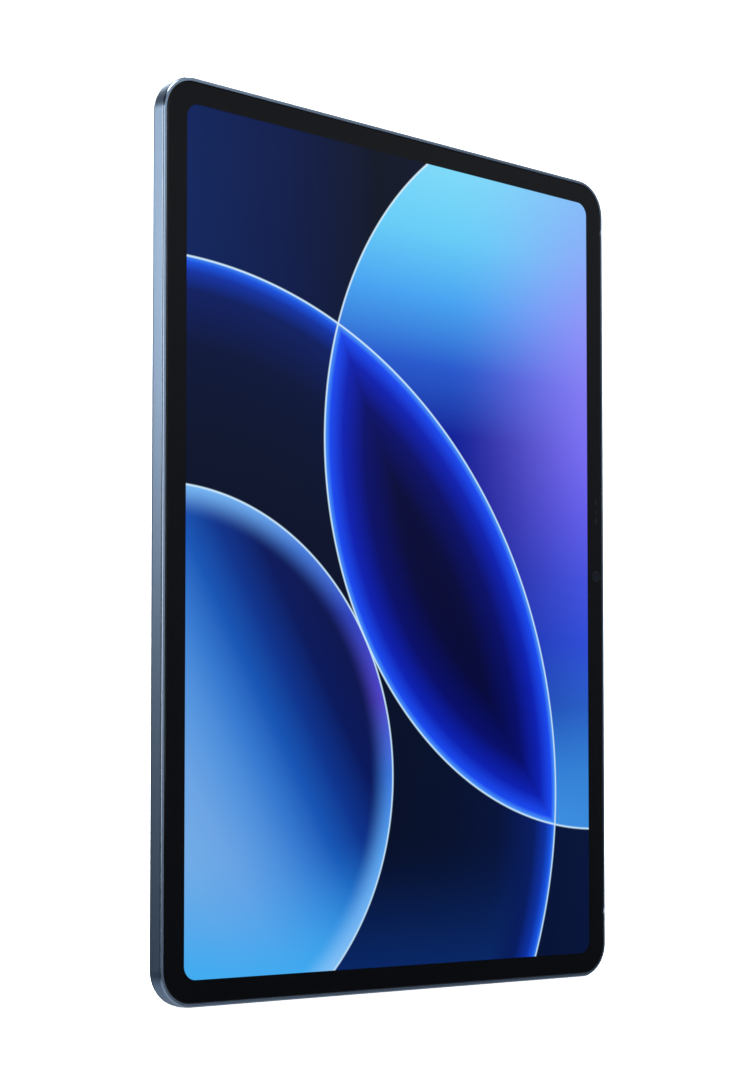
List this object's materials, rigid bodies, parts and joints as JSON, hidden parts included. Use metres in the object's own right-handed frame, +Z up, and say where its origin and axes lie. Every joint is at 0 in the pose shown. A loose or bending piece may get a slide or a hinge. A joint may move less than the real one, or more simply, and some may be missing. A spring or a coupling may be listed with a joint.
{
  "type": "tablet computer",
  "caption": "Slim tablet computer: glass-fronted display in a rounded aluminium unibody, with sprung side keys, edge speakers, a USB-C port and a raised rear camera island.",
  "frame": {"origin": "middle of the bottom short edge, on the plane that the edge stands on, at half the body's thickness", "axes": "+Z up along the long side, -Y out of the display, +X towards the side with the volume rocker"},
  "size_m": [0.1737, 0.0079, 0.2515],
  "materials": {
    "anodised_housing": "fine bead-blasted, blue-grey anodised aluminium, satin",
    "anodised_island": "the same anodised aluminium as the housing",
    "anodised_keys": "the same anodised aluminium as the housing",
    "antenna_plastic": "moulded plastic dyed to the housing's colour, satin",
    "cover_glass": "polished cover glass with a black printed border",
    "display_panel": "lit display panel, glossy",
    "clear_adhesive": "clear adhesive film",
    "light_guide": "milky acrylic light guide",
    "bright_steel": "bright stamped steel",
    "flex_circuit": "amber polyimide ribbon",
    "black_foam": "black closed-cell foam",
    "black_plastic": "black moulded plastic",
    "lens_glass": "coated lens glass, deep blue-black",
    "window_glass": "polished flat glass",
    "polished_ring": "diamond-cut anodised ring, bright",
    "led_phosphor": "yellow phosphor under a diffuser",
    "board_laminate": "glass-fibre laminate with dark green mask",
    "chip_package": "black moulded chip packages",
    "thermal_silicone": "grey-blue silicone pad",
    "pouch_foil": "black-wrapped aluminium laminate pouch",
    "contact_gold": "hard gold plating",
    "seal_silicone": "black silicone",
    "speaker_steel": "plated steel driver plate",
    "speaker_mesh": "black woven dust screen",
    "insulator_plastic": "moulded plastic dyed to the housing's colour",
    "magnet_nickel": "nickel-plated magnets"
  },
  "bodies": {
    "tablet": {"unibody_housing": "anodised_housing", "antenna_inserts": "antenna_plastic", "cover_glass": "cover_glass", "glass_gasket": "black_foam", "optical_adhesive": "clear_adhesive", "lcd_panel": "display_panel", "light_guide": "light_guide", "backlight_tray": "bright_steel", "display_ribbon": "flex_circuit", "front_camera_body": "black_plastic", "front_camera_lens": "lens_glass", "light_sensors": "lens_glass", "sensor_ribbon": "flex_circuit", "camera_island": "anodised_island", "rear_camera_ring": "polished_ring", "rear_camera_window": "window_glass", "rear_camera_body": "black_plastic", "rear_camera_ribbon": "flex_circuit", "flash_ring": "polished_ring", "flash_window": "window_glass", "flash_led": "led_phosphor", "mainboard": "board_laminate", "mainboard_chips": "chip_package", "processor_shield": "bright_steel", "radio_shield": "bright_steel", "thermal_pad": "thermal_silicone", "board_screws": "bright_steel", "board_connectors": "black_plastic", "board_link_ribbon": "flex_circuit", "port_board": "board_laminate", "battery_cell_left": "pouch_foil", "battery_cell_right": "pouch_foil", "battery_adhesive": "clear_adhesive", "battery_protection_board": "board_laminate", "battery_ribbon": "flex_circuit", "usb_shell": "bright_steel", "usb_tongue": "black_plastic", "usb_contacts": "contact_gold", "usb_seal": "seal_silicone", "speaker_drivers": "speaker_steel", "speaker_meshes": "speaker_mesh", "speaker_gaskets": "black_foam", "microphones": "bright_steel", "key_switches": "black_plastic", "key_ribbon": "flex_circuit", "key_brackets": "bright_steel", "contact_insulator": "insulator_plastic", "accessory_contacts": "contact_gold", "contact_ribbon": "flex_circuit", "edge_magnets": "magnet_nickel", "antenna_carriers": "black_plastic", "speaker_box_top_left": "black_plastic", "speaker_box_top_right": "black_plastic", "speaker_box_bottom_left": "black_plastic", "speaker_box_bottom_right": "black_plastic"},
    "power_button": {"power_key": "anodised_keys", "power_switch_button": "black_plastic"},
    "volume_button": {"volume_rocker": "anodised_keys", "volume_switch_buttons": "black_plastic"},
    "focus_barrel": {"rear_lens_barrel": "black_plastic"}
  },
  "joints": [
    {"name": "power_press", "type": "slide", "parent": "tablet", "child": "power_button", "axis": [0, 0, -1], "range_m": [0, 0.00025], "stiffness_N_per_m": 4000, "springref_m": -0.0001},
    {"name": "volume_tilt", "type": "hinge", "parent": "tablet", "child": "volume_button", "pos_m": [0.085, 0.00013, 0.218], "axis": [0, 1, 0], "range_deg": [-1.5, 1.5], "stiffness_Nm_per_rad": 0.4},
    {"name": "focus_slide", "type": "slide", "parent": "tablet", "child": "focus_barrel", "axis": [0, 1, 0], "range_m": [0, 0.0003], "stiffness_N_per_m": 120, "springref_m": -0.0001}
  ]
}
